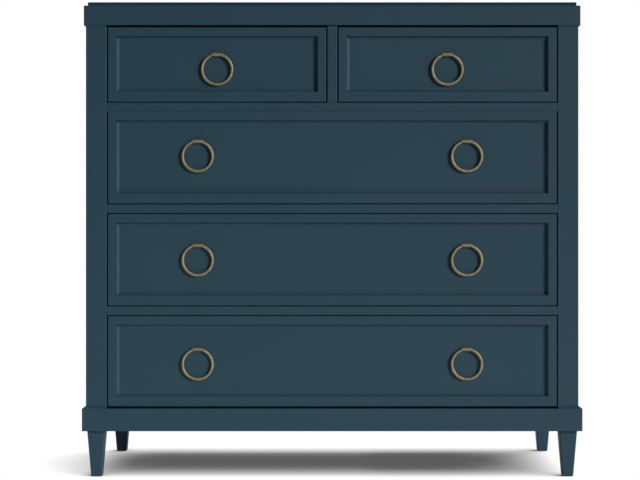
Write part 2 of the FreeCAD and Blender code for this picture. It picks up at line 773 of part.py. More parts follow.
def make_front(drawer, half, height, home):
    """Drawer front with a coved recess, blind holes for the pulls and a groove for the bottom."""
    body = new_body(f"{drawer.name}_front_blank", home)
    face = rectangle(body, "face", "XZ_Plane", f"-{half}", "0", half, height)
    extrude("Pad", body, face, "board", "front_thickness", reverse=True)
    rim = rectangle(body, "rim", "XZ_Plane", f"frame_side - {half}", "frame_foot", f"{half} - frame_side",
                    f"{height} - frame_rail")
    extrude("Pocket", body, rim, "recess", "recess_depth")
    soften("Fillet", body, "cove", "cove_radius", lambda edge: lies_on(body, edge, "Y", "recess_depth"))
    soft_levels = ("0",) if drawer.top_gap == "tight_reveal" else ("0", height)
    soften("Fillet", body, "soft_face", "edge_round",
           lambda edge: lies_on(body, edge, "Y", "0")
           and (lies_on(body, edge, "X", f"-{half}", half) or lies_on(body, edge, "Z", *soft_levels)))
    for offset in drawer.pulls.values():
        mouth = circle(body, "pull_mouth", "XZ_Plane", offset, f"{height} / 2 + {drawer.pull_rise}",
                       "spigot_diameter + spigot_clearance * 2", "-recess_depth")
        extrude("Pocket", body, mouth, "pull_hole", "spigot_length")
    add_bottom_groove(body, half, "front_thickness", reverse=True)
    return body


def add_bottom_groove(body, half, inside, reverse):
    """Groove the inner face of a drawer front or back for the drawer bottom."""
    reach = f"({half} - side_thickness + bottom_groove)"
    mouth = rectangle(body, "groove_mouth", "XZ_Plane", f"-{reach}", "bottom_rise", reach,
                      "bottom_rise + bottom_thickness", f"-({inside})")
    extrude("Pocket", body, mouth, "bottom_groove", "bottom_groove", reverse=reverse)


def make_side(drawer, half, height, home):
    """Right-hand drawer side: tails are left standing at both ends where the pins are cut away."""
    body = new_body(f"{drawer.name}_drawer_right_side", home)
    shape = rectangle(body, "shape", "YZ_Plane", "front_lap", "0", "box_depth", height,
                      f"{half} - side_thickness")
    extrude("Pad", body, shape, "board", "side_thickness")
    tails = max(fewest_tails, round(measure(body, height) / measure(body, "tail_pitch")))
    ends = (("front", "front_lap", "front_thickness"), ("back", "box_depth", "box_depth - back_thickness"))
    for end, tip, shoulder in ends:
        spread = f"(pin_width / 2 + abs({tip} - ({shoulder})) * pin_slope_share)"
        pin = outline(body, f"{end}_pin", "YZ_Plane", [
            (tip, "-pin_width / 2"), (shoulder, f"-{spread}"), (shoulder, spread),
            (tip, "pin_width / 2")], half)
        space = extrude("Pocket", body, pin, f"{end}_pin_space", "side_thickness")
        repeat_up(body, space, f"{end}_pin_spaces", height, tails + 1)
    groove = rectangle(body, "groove_side", "YZ_Plane", "front_thickness - bottom_groove", "bottom_rise",
                       "box_depth - back_thickness + bottom_groove", "bottom_rise + bottom_thickness",
                       f"{half} - side_thickness")
    extrude("Pocket", body, groove, "bottom_groove", "bottom_groove", reverse=True)
    return body


def make_back(drawer, half, height, home):
    """Drawer back, as high as the sides, grooved for the bottom."""
    body = new_body(f"{drawer.name}_back_blank", home)
    inside = "box_depth - back_thickness"
    face = rectangle(body, "face", "XZ_Plane", f"-{half}", "0", half, height, f"-({inside})")
    extrude("Pad", body, face, "board", "back_thickness", reverse=True)
    add_bottom_groove(body, half, inside, reverse=False)
    return body


def make_bottom(drawer, half, base):
    """Drawer bottom, a little smaller than the grooves that hold it."""
    reach = f"({half} - side_thickness + bottom_groove - bottom_float)"
    return board(f"{drawer.name}_drawer_bottom",
                 (f"{drawer.centre} - {reach}",
                  "front_face + front_thickness - bottom_groove + bottom_float", f"{base} + bottom_rise"),
                 (f"{reach} * 2",
                  "box_depth - back_thickness - front_thickness + (bottom_groove - bottom_float) * 2",
                  "bottom_thickness"))


def make_pulls(drawer, height, base):
    """Posts and rings of a drawer's pulls; the posts share one name."""
    posts = []
    for hand, offset in drawer.pulls.items():
        name = f"{drawer.name}_{hand}".rstrip("_")
        axis_place = (f"{drawer.centre} + {offset}", "front_face + pull_axis",
                      f"{base} + {height} / 2 + {drawer.pull_rise}")
        posts.append(placed(pull_post, f"{name}_post", axis_place))
        keep(placed(pull_ring, f"{name}_ring", axis_place))
    keep(group(f"{drawer.name}_drawer_pull_posts", posts))


def make_drawer(drawer):
    """One drawer, its front and back socketed by the tails of its own sides."""
    half = f"({drawer.width} / 2 - side_reveal)"
    height = f"({drawer.opening} - {drawer.low_gap} - {drawer.top_gap})"
    box_height = f"({height} - side_drop)"
    base = f"({drawer.floor} + {drawer.low_gap})"
    home = (drawer.centre, "front_face", base)
    right = make_side(drawer, half, box_height, home)
    left = mirrored(right, f"{drawer.name}_drawer_left_side", drawer.centre)
    tails = group(f"{drawer.name}_tails", [right, left])
    front = boolean("Cut", f"{drawer.name}_drawer_front", make_front(drawer, half, height, home), tails)
    back = boolean("Cut", f"{drawer.name}_drawer_back", make_back(drawer, half, box_height, home), tails)
    keep(front, right, left, back, make_bottom(drawer, half, base))
    make_pulls(drawer, height, base)


for drawer in drawers:
    make_drawer(drawer)

# Check the model, then write each sub-part
doc.recompute()
failed = [thing.Name for thing in doc.Objects if {"Invalid", "Error"} & set(thing.State)]
failed += [node.Label for node in nodes if node.Shape.isNull() or not node.Shape.isValid()]
if failed:
    raise RuntimeError(f"these pieces did not build: {failed}")
os.makedirs("parts", exist_ok=True)
for node in nodes:
    node.Shape.exportStep(f"parts/{node.Label}.step")
print(f"{len(nodes)} sub-parts written")
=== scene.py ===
# %% [markdown]
# # A painted chest of drawers
# The chest is a wooden case under dark teal-blue satin paint. Two small drawers sit over three wide ones,
# and brass rings hang on short posts as pulls. The wooden pieces were drawn in CAD and arrive here as fixed
# meshes at their real size. This lesson adds what CAD leaves out: the finishes, the rings as smooth
# surfaces, the small screws, the light and the camera. Every length is in metres, +X runs to the right and
# +Y to the back.

# %% Load the frame
import json
import math
import bpy
import numpy as np
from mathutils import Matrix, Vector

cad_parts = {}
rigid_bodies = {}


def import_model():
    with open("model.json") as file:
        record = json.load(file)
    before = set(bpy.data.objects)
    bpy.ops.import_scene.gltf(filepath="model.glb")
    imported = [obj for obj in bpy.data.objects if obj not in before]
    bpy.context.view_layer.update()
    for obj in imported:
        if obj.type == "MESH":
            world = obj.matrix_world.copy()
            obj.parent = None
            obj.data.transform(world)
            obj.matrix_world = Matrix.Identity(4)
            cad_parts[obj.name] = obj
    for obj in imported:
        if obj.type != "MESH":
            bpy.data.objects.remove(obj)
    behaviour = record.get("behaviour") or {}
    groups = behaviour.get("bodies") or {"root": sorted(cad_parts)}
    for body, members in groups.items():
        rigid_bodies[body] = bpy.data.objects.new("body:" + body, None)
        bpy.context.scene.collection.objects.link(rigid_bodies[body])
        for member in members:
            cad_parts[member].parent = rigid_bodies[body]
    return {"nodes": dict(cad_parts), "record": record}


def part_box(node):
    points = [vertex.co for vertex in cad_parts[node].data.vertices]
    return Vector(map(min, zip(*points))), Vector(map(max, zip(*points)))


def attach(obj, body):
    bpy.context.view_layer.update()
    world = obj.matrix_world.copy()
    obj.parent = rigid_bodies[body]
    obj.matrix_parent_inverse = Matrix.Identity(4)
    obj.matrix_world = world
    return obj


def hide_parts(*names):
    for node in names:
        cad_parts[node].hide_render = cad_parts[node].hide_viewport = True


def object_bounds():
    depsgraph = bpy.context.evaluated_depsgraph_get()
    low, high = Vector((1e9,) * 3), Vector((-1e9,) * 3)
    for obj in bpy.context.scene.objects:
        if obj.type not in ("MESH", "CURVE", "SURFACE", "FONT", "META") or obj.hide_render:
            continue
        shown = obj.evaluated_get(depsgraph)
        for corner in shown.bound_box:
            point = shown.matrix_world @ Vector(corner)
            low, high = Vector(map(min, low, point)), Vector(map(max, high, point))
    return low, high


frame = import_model()
cad_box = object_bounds()
nodes = frame["nodes"]

# %% [markdown]
# ## Sums on sockets
# A shader is a graph of nodes, and a formula drawn as boxes and wires is hard to read. One could add every
# node by hand. Here a small class wraps a socket instead, so a sum written in Python adds its Math nodes by
# itself, and one method adds any other node. Colours are blended by a Mix node, because Math turns them
# grey.

# %% A socket that joins in sums
class Wire:
    """One shader socket; each operator adds a Math node and gives that node's output."""

    def __init__(self, tree, socket=None):
        self.tree = tree
        self.socket = socket

    def node(self, kind, settings=None, sockets=None, output=0):
        """Add a node: its settings first, then a number, colour or wire for each socket."""
        node = self.tree.nodes.new(kind)
        for name, setting in (settings or {}).items():
            setattr(node, name, setting)
        for name, value in (sockets or {}).items():
            if isinstance(value, Wire):
                self.tree.links.new(value.socket, node.inputs[name])
            else:
                node.inputs[name].default_value = value
        return Wire(self.tree, node.outputs[output])

    def math(self, operation, first, second):
        """Add a Math node on two numbers or wires."""
        return self.node("ShaderNodeMath", {"operation": operation}, {0: first, 1: second})

    def __add__(self, other):
        return self.math("ADD", self, other)

    def __sub__(self, other):
        return self.math("SUBTRACT", self, other)

    def __rsub__(self, other):
        return self.math("SUBTRACT", other, self)

    def __mul__(self, other):
        return self.math("MULTIPLY", self, other)

    def __abs__(self):
        return self.math("ABSOLUTE", self, 0.0)

    __radd__ = __add__
    __rmul__ = __mul__

    def step(self, low, high):
        """Rise smoothly from 0 at low to 1 at high."""
        return self.node("ShaderNodeMapRange", {"interpolation_type": "SMOOTHSTEP"},
                         {"Value": self, "From Min": low, "From Max": high})

    def mix(self, first, second):
        """Blend two colours, with this wire as the share of the second."""
        return self.node("ShaderNodeMix", {"data_type": "RGBA"}, {0: self, 6: first, 7: second}, output=2)

    def show(self, kind="ShaderNodeOutputMaterial"):
        """Send this shader to the surface of its material or world."""
        self.tree.links.new(self.socket, self.tree.nodes.new(kind).inputs["Surface"])


print("sockets can be added, taken away, multiplied, stepped and used to mix colours")

# %% [markdown]
# ## Places on a piece
# Every finish below reads Object coordinates, which are metres in the chest's own frame and ride along when
# a drawer slides. One could unwrap a UV map for each piece instead, but grain runs through a board, and
# Object coordinates carry it from the face to the end without a seam. A noise that is stretched along one
# axis looks like grain along that axis.

# %% Helpers for finishes
GRAIN_SHARES = {"x": (0.03, 1.0, 1.0), "y": (1.0, 0.03, 1.0), "z": (1.0, 1.0, 0.03)}


def new_finish(name):
    """Empty material and a first wire that adds nodes to it."""
    material = bpy.data.materials.new(name)
    material.use_nodes = True
    material.node_tree.nodes.clear()
    return material, Wire(material.node_tree)


def object_place(wire):
    """Object coordinates, in metres."""
    return wire.node("ShaderNodeTexCoord", output="Object")


def noise(place, scale, shares=(1.0, 1.0, 1.0), detail=2.0):
    """Soft random value from 0 to 1, with its frequency shared out along X, Y and Z."""
    where = place.node("ShaderNodeMapping", sockets={
        "Vector": place, "Scale": [scale * share for share in shares]})
    return place.node("ShaderNodeTexNoise", sockets={"Vector": where, "Scale": 1.0, "Detail": detail})


def along_axis(place, axis):
    """One coordinate of a place as a number."""
    return place.node("ShaderNodeSeparateXYZ", sockets={"Vector": place}, output=axis)


def relief(height, strength, distance):
    """Turn a height from 0 to 1 into a normal."""
    return height.node("ShaderNodeBump", sockets={
        "Height": height, "Strength": strength, "Distance": distance})


print("grain can run along", ", ".join(GRAIN_SHARES))

# %% [markdown]
# ## Satin paint
# The paint is a sprayed coat over close-grained wood: an even blue, a soft sheen, fine dimples left by the
# spray and a trace of the grain under it. A flat colour would look like plastic, so slow clouds vary the
# blue a little, the sheen is uneven, and a bump carries the dimples and the grain. The top board and the
# rail behind the plinth get the same blue as a dull coat: a dusted, much used top has little shine left.

# %% Paint shader
PAINT_DEEP = (0.0102, 0.0368, 0.0550, 1.0)
PAINT_PALE = (0.0126, 0.0414, 0.0602, 1.0)
SATIN = {"roughness": 0.54, "sheen": 0.26}
DULL = {"roughness": 0.86, "sheen": 0.02}
CLOUDS_PER_METRE = 5.0
GRAIN_PER_METRE = 260.0
DIMPLES_PER_METRE = 420.0
MOTTLE_PER_METRE = 38.0
MOTTLE_ROUGHNESS = 0.08
CLOUD_SHARE = 0.7
DIMPLE_SHARE = 0.45
PAINT_RELIEF = {"strength": 0.10, "distance": 0.0003}


def paint_shader(wire, along, coat=SATIN):
    """Blue = deep to pale by clouds; roughness = the coat plus mottle; height = spray dimples plus grain."""
    place = object_place(wire)
    clouds = noise(place, CLOUDS_PER_METRE, detail=3.0)
    grain = noise(place, GRAIN_PER_METRE, GRAIN_SHARES[along], detail=3.0)
    dimples = noise(place, DIMPLES_PER_METRE)
    colour = (clouds * CLOUD_SHARE + grain * (1.0 - CLOUD_SHARE)).mix(PAINT_DEEP, PAINT_PALE)
    height = dimples * DIMPLE_SHARE + grain * (1.0 - DIMPLE_SHARE)
    return wire.node("ShaderNodeBsdfPrincipled", sockets={
        "Base Color": colour,
        "Roughness": coat["roughness"] + noise(place, MOTTLE_PER_METRE) * MOTTLE_ROUGHNESS,
        "Specular IOR Level": coat["sheen"],
        "Normal": relief(height, **PAINT_RELIEF),
    })


def make_paint(name, along, coat):
    """Material of one coat of paint, with the grain under it along an axis."""
    material, wire = new_finish(name)
    paint_shader(wire, along, coat).show()
    return material


paints = {along: make_paint(f"satin_paint_{along}", along, SATIN) for along in "xz"}
dull_paint = make_paint("dull_paint", "x", DULL)
print("paint with grain along", ", ".join(paints), "and a dull coat for the top and the bottom rail")

# %% [markdown]
# ## Bare wood
# Inside, the drawers are bare pale wood. A flat picture of a plank would not agree where two faces of a
# board meet. A tree is a cone of rings, so a solid ring pattern about a far-off heart gives long figure on a
# board's face and arcs on its end, which shows at the dovetails. Fine pores are noise drawn out along the
# grain.

# %% Wood shader
WOOD_EARLY = (0.560, 0.395, 0.230, 1.0)
WOOD_LATE = (0.420, 0.265, 0.135, 1.0)
TREE_HEART = (0.21, 0.33, -0.27)
TREE_RINGS = {"Scale": 16.0, "Distortion": 5.0, "Detail": 3.0, "Detail Scale": 1.4}
PORES_PER_METRE = 900.0
STREAKS_PER_METRE = 60.0
OPEN_PORES = (0.55, 0.75)
RING_SHARE = 0.40
STREAK_SHARE = 0.45
PORE_SHARE = 0.15
WOOD_ROUGHNESS = 0.50
PORE_ROUGHNESS = 0.15
WOOD_RELIEF = {"strength": 0.12, "distance": 0.0003}


def wood_shader(wire, along):
    """Colour = early to late wood by warped rings about the heart, dulled by pores."""
    place = object_place(wire)
    where = wire.node("ShaderNodeMapping", sockets={
        "Vector": place, "Location": TREE_HEART,
        "Scale": [math.sqrt(share) for share in GRAIN_SHARES[along]]})
    rings = wire.node("ShaderNodeTexWave", {"wave_type": "RINGS", "rings_direction": along.upper()},
                      {"Vector": where, **TREE_RINGS}, output=1)
    pores = noise(place, PORES_PER_METRE, GRAIN_SHARES[along])
    streaks = noise(place, STREAKS_PER_METRE, GRAIN_SHARES[along], detail=3.0)
    figure = rings * RING_SHARE + streaks * STREAK_SHARE + pores.step(*OPEN_PORES) * PORE_SHARE
    return wire.node("ShaderNodeBsdfPrincipled", sockets={
        "Base Color": figure.mix(WOOD_EARLY, WOOD_LATE),
        "Roughness": WOOD_ROUGHNESS + pores * PORE_ROUGHNESS,
        "Normal": relief(pores, **WOOD_RELIEF),
    })


def make_wood(along):
    """Material of bare wood with its grain along an axis."""
    material, wire = new_finish(f"bare_wood_{along}")
    wood_shader(wire, along).show()
    return material


woods = {along: make_wood(along) for along in "xyz"}
print("bare wood with grain along", ", ".join(woods))

# %% [markdown]
# ## Painted outside, bare inside
# A drawer front is painted on its face and edges and bare towards the inside, and so is a side panel. One
# could pick out the inner faces by hand and give them a second slot. Here the two finishes share one
# material instead, which leaves the mesh alone, and the distance from the middle of the case says which of
# them shows.

# %% Pieces with two finishes
BARE_SKIN = 0.0004


def make_two_sided(name, along, axis, bare_below):
    """Paint where the distance from the middle along an axis is over a limit, bare wood below it."""
    material, wire = new_finish(name)
    distance = abs(along_axis(object_place(wire), axis))
    surface = wire.node("ShaderNodeMixShader", sockets={
        0: distance.step(bare_below, bare_below + BARE_SKIN),
        1: wood_shader(wire, along), 2: paint_shader(wire, along)})
    surface.show()
    return material


front_names = [name for name in nodes if name.endswith("drawer_front")]
front_inside = -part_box(front_names[0])[1].y
panel_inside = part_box("right_side_panel")[0].x
drawer_front_finish = make_two_sided("drawer_front_finish", "x", "Y", front_inside + BARE_SKIN)
side_panel_finish = make_two_sided("side_panel_finish", "z", "X", panel_inside + BARE_SKIN)
print(f"fronts are bare behind y = {-front_inside:.4f}, panels inside x = {panel_inside:.4f}")

# %% [markdown]
# ## Aged brass
# The pulls are brass that has browned. Hands rub it bright in patches and leave a brown film elsewhere, and
# fine brush lines run round each turned piece and along each ring. A plain gold colour would look new. Metal
# has no colour of its own but its reflection, so the film is a darker reflection colour with more roughness.

# %% Brass shader
BRASS_WORN = (0.312, 0.274, 0.168, 1.0)
BRASS_FILM = (0.206, 0.179, 0.108, 1.0)
PATCHES_PER_METRE = 130.0
PATCH_EDGES = (0.30, 0.70)
PATCH_SHARE = 0.65
LINES_PER_METRE = 2600.0
ROUND_X_SHARES = (1.0, 0.02, 0.02)
ALONG_ROD_SHARES = (0.02, 1.0, 1.0)
FILM_ROUGHNESS = 0.76
WORN_SMOOTHER = 0.10
BRASS_RELIEF = {"strength": 0.12, "distance": 0.0002}


def brass_shader(wire, place, lines):
    """Colour = film to worn metal by patches and brush lines; the film is rougher than the metal."""
    patches = noise(place, PATCHES_PER_METRE, detail=4.0).step(*PATCH_EDGES)
    worn = patches * PATCH_SHARE + lines * (1.0 - PATCH_SHARE)
    return wire.node("ShaderNodeBsdfPrincipled", sockets={
        "Base Color": worn.mix(BRASS_FILM, BRASS_WORN),
        "Metallic": 1.0,
        "Roughness": FILM_ROUGHNESS - worn * WORN_SMOOTHER,
        "Normal": relief(lines, **BRASS_RELIEF),
    })


def make_turned_brass():
    """Brass turned about X, so its brush lines depend on X alone."""
    material, wire = new_finish("turned_brass")
    place = object_place(wire)
    lines = noise(place, LINES_PER_METRE, ROUND_X_SHARES, detail=3.0)
    brass_shader(wire, place, lines).show()
    return material


def make_drawn_brass():
    """Brass drawn along a ring: the lines follow the ring as if it were a straight rod."""
    material, wire = new_finish("drawn_brass")
    rod = wire.node("ShaderNodeAttribute", {"attribute_name": "rod"}, output="Vector")
    lines = noise(rod, LINES_PER_METRE, ALONG_ROD_SHARES, detail=3.0)
    brass_shader(wire, object_place(wire), lines).show()
    return material


turned_brass = make_turned_brass()
drawn_brass = make_drawn_brass()
print("brass for the turned posts and the drawn rings")

# %% [markdown]
# ## Dress the CAD pieces
# Each CAD piece keeps its mesh and gets a finish in its material slot. The ending of its name says what it
# is, and the grain follows the long way of the board.

# %% Finishes by kind of piece
FINISH_BY_ENDING = {
    "_foot": paints["z"],
    "_post": paints["z"],
    "divider": paints["z"],
    "bottom_rail": dull_paint,
    "top_board": dull_paint,
    "drawer_front": drawer_front_finish,
    "side_panel": side_panel_finish,
    "right_side": woods["y"],
    "left_side": woods["y"],
    "drawer_back": woods["x"],
    "drawer_bottom": woods["x"],
    "pull_posts": turned_brass,
    "_ring": turned_brass,
    "back_panel": woods["z"],
    "runners": woods["y"],
    "stops": woods["x"],
}
for name, node in nodes.items():
    matches = [finish for ending, finish in FINISH_BY_ENDING.items() if name.endswith(ending)]
    finish = matches[0] if matches else paints["x"]
    for holder in node.material_slots:
        holder.material = finish
print(f"{len(nodes)} CAD pieces dressed")

# %% [markdown]
# ## Surfaces from grids
# New pieces are surfaces worked out with numpy: rows of points, each row a closed loop. One helper joins the
# rows by quads and closes both ends by fans, one repeats or gathers such shells, and one makes the mesh. No
# loop ever visits a single vertex.

# %% Shells and pieces
SHARP_ANGLE = math.radians(40.0)


def skin(rows):
    """Points, quads and fan triangles of a shell through rows of loops, shape (rows, around, 3).

    A quad joins points j and j + 1 of row i to the same points of row i + 1, and a fan joins each end loop
    to its mean. The way round crossed with the way along has to point out of the shell.
    """
    count, around = rows.shape[:2]
    index = np.arange(count * around).reshape(count, around)
    after = np.roll(index, -1, axis=1)
    quads = np.stack([index[:-1], after[:-1], after[1:], index[1:]], axis=-1).reshape(-1, 4)
    start = np.full(around, count * around)
    fans = np.vstack([np.stack([start, after[0], index[0]], axis=-1),
                      np.stack([index[-1], after[-1], start + 1], axis=-1)])
    points = np.vstack([rows.reshape(-1, 3), rows[0].mean(axis=0), rows[-1].mean(axis=0)])
    return points, quads, fans


def gather(shells):
    """One shell out of several: points end to end, with faces counted on."""
    points, quads, fans = zip(*shells)
    starts = np.cumsum([0] + [len(part) for part in points])
    return (np.vstack(points),
            np.vstack([part + start for part, start in zip(quads, starts)]),
            np.vstack([part + start for part, start in zip(fans, starts)]))


def make_piece(name, shell, finish, body):
    """Mesh object out of a shell, smooth but for sharp edges, riding on a body."""
    points, quads, fans = shell
    mesh = bpy.data.meshes.new(name)
    mesh.from_pydata(points.tolist(), [], quads.tolist() + fans.tolist())
    mesh.polygons.foreach_set("use_smooth", np.ones(len(mesh.polygons), bool))
    mesh.set_sharp_from_angle(angle=SHARP_ANGLE)
    mesh.materials.append(finish)
    piece = bpy.data.objects.new(name, mesh)
    bpy.context.scene.collection.objects.link(piece)
    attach(piece, body)
    return piece


print("shells are closed at both ends and shaded smooth under", round(math.degrees(SHARP_ANGLE)), "degrees")

# %% [markdown]
# ## Ring pulls
# Each pull is a brass ring that hangs from a short barrel. The ring is open at its top, and each end carries
# a collar and a pin that turns in the barrel. A ready-made torus would have no ends, so the hoop is a circle
# carried along an arc, and the collar and pin are a profile turned about the axis. A second set of
# coordinates, as if the ring were straightened into a rod, lets the brush lines follow the metal.

# %% Ring surfaces
RING_RADIUS = 0.0335
RING_TUBE = 0.0033
RING_DROP = 0.0332
END_CUT = 0.01165
COLLAR_PROFILE = np.array([
    (0.00505, 0.0004), (0.00505, 0.0013), (0.0054, 0.0016), (0.01105, 0.0016), (0.01105, 0.0031),
    (0.01120, 0.0034), (0.01145, 0.0035), (0.01190, 0.0035), (0.01215, 0.0034), (0.01225, 0.0032)])
ALONG_HOOP = 168
ROUND_HOOP = 28


def hoop_surface():
    """Point = ring centre + R (sin a, 0, cos a) + r cos b (sin a, 0, cos a) - r sin b (0, 1, 0).

    The angle a runs down from the right-hand end and up to the left-hand one, and b runs round the metal. As
    a rod, the same point is (R a, r cos b, r sin b).
    """
    cut = math.asin(END_CUT / RING_RADIUS)
    a, b = np.meshgrid(np.linspace(cut, 2 * np.pi - cut, ALONG_HOOP),
                       np.arange(ROUND_HOOP) / ROUND_HOOP * 2 * np.pi, indexing="ij")
    reach = RING_RADIUS + RING_TUBE * np.cos(b)
    rows = np.stack([reach * np.sin(a), -RING_TUBE * np.sin(b), reach * np.cos(a) - RING_DROP], axis=-1)
    rod = np.stack([RING_RADIUS * a, RING_TUBE * np.cos(b), RING_TUBE * np.sin(b)], axis=-1)
    return rows, rod


def turned_surface(profile, around):
    """Profile of (place along X, radius) turned about X: point = (x, radius cos b, radius sin b)."""
    b = np.arange(around) / around * 2 * np.pi
    along = np.broadcast_to(profile[:, :1], (len(profile), around))
    return np.stack([along, profile[:, 1:] * np.cos(b), profile[:, 1:] * np.sin(b)], axis=-1)


def ring_shells():
    """Shell of one ring about its axis, and the rod coordinates of the same points."""
    hoop, rod = hoop_surface()
    right = turned_surface(COLLAR_PROFILE, ROUND_HOOP)
    left = turned_surface(COLLAR_PROFILE[::-1] * (-1.0, 1.0), ROUND_HOOP)
    shell = gather([skin(rows) for rows in (hoop, right, left)])
    rods = np.vstack([skin(rows)[0] for rows in (rod, right, left)])
    return shell, rods


(ring_points, ring_quads, ring_fans), ring_rods = ring_shells()
print(f"one ring has {len(ring_points)} points and {len(ring_quads)} quads")

# %% Hang the rings
ring_joints = {joint["child"]: joint for joint in frame["record"]["behaviour"]["joints"]
               if joint["child"].endswith("_ring")}
for body, joint in ring_joints.items():
    hung = (ring_points + joint["pos_m"], ring_quads, ring_fans)
    ring = make_piece(f"{body}_brass", hung, drawn_brass, body)
    rod = ring.data.attributes.new("rod", "FLOAT_VECTOR", "POINT")
    rod.data.foreach_set("vector", ring_rods.ravel())
    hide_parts(body)
print(f"{len(ring_joints)} rings hang on their posts")

# %% [markdown]
# ## Screws
# A screw from inside the drawer holds each pull, with a washer under its head, and small screws hold the
# back panel. The slot could be cut by a Boolean, which leaves ragged faces. Here a screw head is a dome over
# a disc: its height falls with the radius, and a slot is pressed into it where the distance from a line
# through the middle is small. Every slot stops at its own angle, as slots do.

# %% Screw surfaces
HEAD_SHARES = np.array([1.0, 1.0, 0.97, 0.90, 0.80, 0.68, 0.56, 0.44, 0.32, 0.20, 0.10])
HEAD_LEVELS = np.array([-0.3, 0.40, 0.55, 0.68, 0.80, 0.88, 0.93, 0.96, 0.98, 1.0, 1.0])
SLOT_HALF_SHARE = 0.11
SLOT_EDGE_SHARE = 0.05
SLOT_FLOOR_SHARE = 0.45
ROUND_HEAD = 48


def screw_head(radius, height, turn):
    """Slotted head about X: radius times a share, height times a level, less the slot near its line."""
    b = np.arange(ROUND_HEAD) / ROUND_HEAD * 2 * np.pi + turn
    across = HEAD_SHARES[:, None] * np.abs(np.sin(b - turn))
    edge = np.clip((across - SLOT_HALF_SHARE) / SLOT_EDGE_SHARE, 0.0, 1.0)
    slot_floor = np.minimum(HEAD_LEVELS, SLOT_FLOOR_SHARE)[:, None]
    level = slot_floor + (HEAD_LEVELS[:, None] - slot_floor) * edge
    reach = radius * HEAD_SHARES[:, None]
    return np.stack([height * level, reach * np.cos(b), reach * np.sin(b)], axis=-1)


def facing_back(rows, place):
    """Turn a surface about X into one about Y, by passing each coordinate on, and set it in its place."""
    return np.roll(rows, 1, axis=-1) + np.array(place)


print(f"a screw head is {len(HEAD_LEVELS)} loops of {ROUND_HEAD} points")

# %% Pull screws
WASHER_PROFILE = np.array([(-0.0002, 0.0055), (0.0007, 0.0055), (0.0010, 0.0052), (0.0010, 0.0030)])
WASHER_THICKNESS = 0.0010
PULL_SCREW_RADIUS = 0.0038
PULL_SCREW_HEIGHT = 0.0026
TURN_STEP = 1.1
TURN_PER_METRE = 9.0

washer = turned_surface(WASHER_PROFILE, ROUND_HEAD)
for front in front_names:
    body = front.removesuffix("_front")
    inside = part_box(front)[1].y
    shells = []
    for joint in (found for found in ring_joints.values() if found["parent"] == body):
        across, _, level = joint["pos_m"]
        turn = TURN_STEP * len(shells) + across * TURN_PER_METRE
        head = screw_head(PULL_SCREW_RADIUS, PULL_SCREW_HEIGHT, turn)
        shells.append(skin(facing_back(washer, (across, inside, level))))
        shells.append(skin(facing_back(head, (across, inside + WASHER_THICKNESS, level))))
    make_piece(f"{body}_pull_screws", gather(shells), turned_brass, body)
print(f"{len(ring_joints)} pull screws with washers")

# %% Back panel screws
BACK_SCREW_RADIUS = 0.0032
BACK_SCREW_HEIGHT = 0.0007
EDGE_INSET = 0.006
CORNER_INSET = 0.030
FOOT_INSET = 0.0275
FOOT_SPAN_SHARE = 0.75
SCREWS_UP = 8
SCREWS_ALONG = 6


def back_screw(number, place):
    """Shell of one low head on the back panel, each turned a step further than the one before."""
    head = screw_head(BACK_SCREW_RADIUS, BACK_SCREW_HEIGHT, TURN_STEP * number)
    return skin(facing_back(head, place))


panel_low, panel_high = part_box("back_panel")
up_edges = np.linspace(panel_low.z + CORNER_INSET, panel_high.z - CORNER_INSET, SCREWS_UP)
along_foot = np.linspace(panel_low.x * FOOT_SPAN_SHARE, panel_high.x * FOOT_SPAN_SHARE, SCREWS_ALONG)
side_edges = (panel_low.x + EDGE_INSET, panel_high.x - EDGE_INSET)
screw_places = [(side, panel_high.y, level) for side in side_edges for level in up_edges]
screw_places += [(across, panel_high.y, panel_low.z + FOOT_INSET) for across in along_foot]
back_heads = [back_screw(number, place) for number, place in enumerate(screw_places)]
make_piece("back_panel_screws", gather(back_heads), turned_brass, "case")
print(f"{len(screw_places)} back panel screws")

# %% [markdown]
# ## Floor
# The chest stands on a white floor that ends in nothing but white. What the eye and a reflection see of it
# is a white glow that no lamp makes, with a painted shadow: it is darkened where an occlusion measure finds
# the chest over it. The measure is leaned to the right and to the front, which moves that painted shadow to
# the left. A hand's breadth beside the chest, and right behind it, the floor fades into the background. For
# all other light the floor is plain pale paper under the lamps. The renderer would take the white for one
# more lamp and look for its light, so it is told not to.

# %% Floor
FLOOR_HALF = 2.4
FLOOR_DROP = 0.0003
PAPER = (0.80, 0.80, 0.80, 1.0)
WHITE = (1.0, 1.0, 1.0, 1.0)
BLACK = (0.0, 0.0, 0.0, 1.0)
# Painted shadow on the seen floor: an occlusion measure, leaned to the right and to the front, darkens the
# glow.
PAINTED_SHADOW_LEAN = {"X": 0.490, "Y": -0.240, "Z": 0.838}
PAINTED_SHADOW_REACH = 0.45
PAINTED_SHADOW_SAMPLES = 64
SHADE_RANGE = {"From Min": 0.272, "From Max": 0.660, "To Min": 0.108}
FADE_BESIDE = (0.05, 0.16)
FADE_BEHIND = (-0.008, 0.024)


def seen_directly(wire, backdrop=1.0):
    """1 for rays from the camera; for mirrored and refracted rays, how much is background."""
    camera, mirrored, through = (wire.node("ShaderNodeLightPath", output=kind)
                                 for kind in ("Is Camera Ray", "Is Glossy Ray", "Is Transmission Ray"))
    return wire.math("MINIMUM", camera + (mirrored + through) * backdrop, 1.0)


def fade_out(wire):
    """0 under and in front of the chest, 1 a hand's breadth beside it and a finger's breadth behind it."""
    place = object_place(wire)
    beside = abs(along_axis(place, "X")) - cad_box[1].x
    behind = along_axis(place, "Y") - cad_box[1].y
    return wire.math("MAXIMUM", beside.step(*FADE_BESIDE), behind.step(*FADE_BEHIND))


